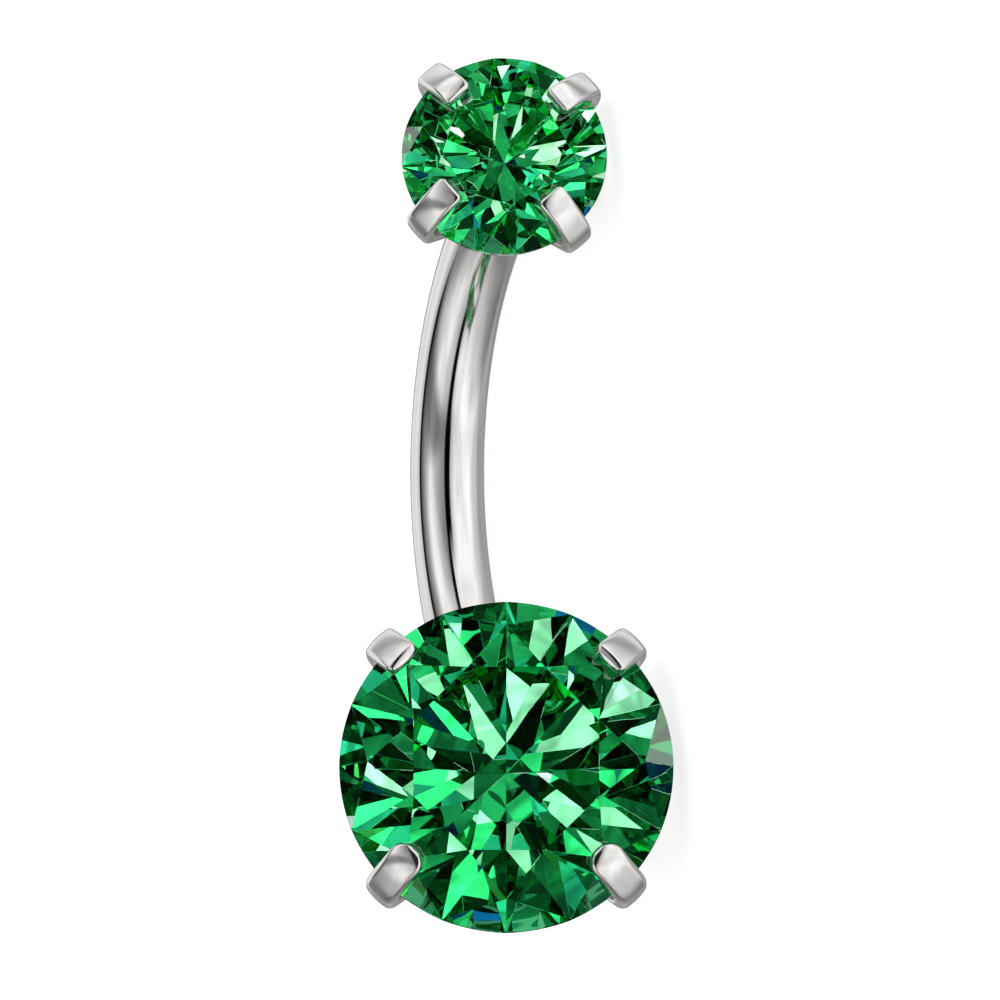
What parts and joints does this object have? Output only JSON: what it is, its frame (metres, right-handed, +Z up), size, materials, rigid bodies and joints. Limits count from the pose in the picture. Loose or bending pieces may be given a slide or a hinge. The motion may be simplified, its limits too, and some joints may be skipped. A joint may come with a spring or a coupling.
{
  "type": "navel ring",
  "caption": "Curved barbell navel ring: a bowed round bar between a large and a small round green stone, each in a four-prong setting; the small head screws off.",
  "frame": {"origin": "centre of the bounding box in X and Y, on the surface that the ring lies on", "axes": "+X from the large lower head to the small upper head, +Z up from the surface, the bow of the bar towards +Y; the stones face -Y and up"},
  "size_m": [0.0188, 0.0092, 0.0064],
  "materials": {
    "steel": "mirror-polished surgical steel",
    "green_stone": "faceted and polished, transparent green"
  },
  "bodies": {
    "ring": {"bar_with_lower_setting": "steel", "lower_stone": "green_stone"},
    "upper_head": {"upper_setting": "steel", "upper_stone": "green_stone"}
  },
  "joints": [
    {"name": "upper_head_slide", "type": "slide", "parent": "ring", "child": "upper_head", "axis": [0.7033, -0.7068, 0.076], "range_m": [0, 0.002]}
  ]
}
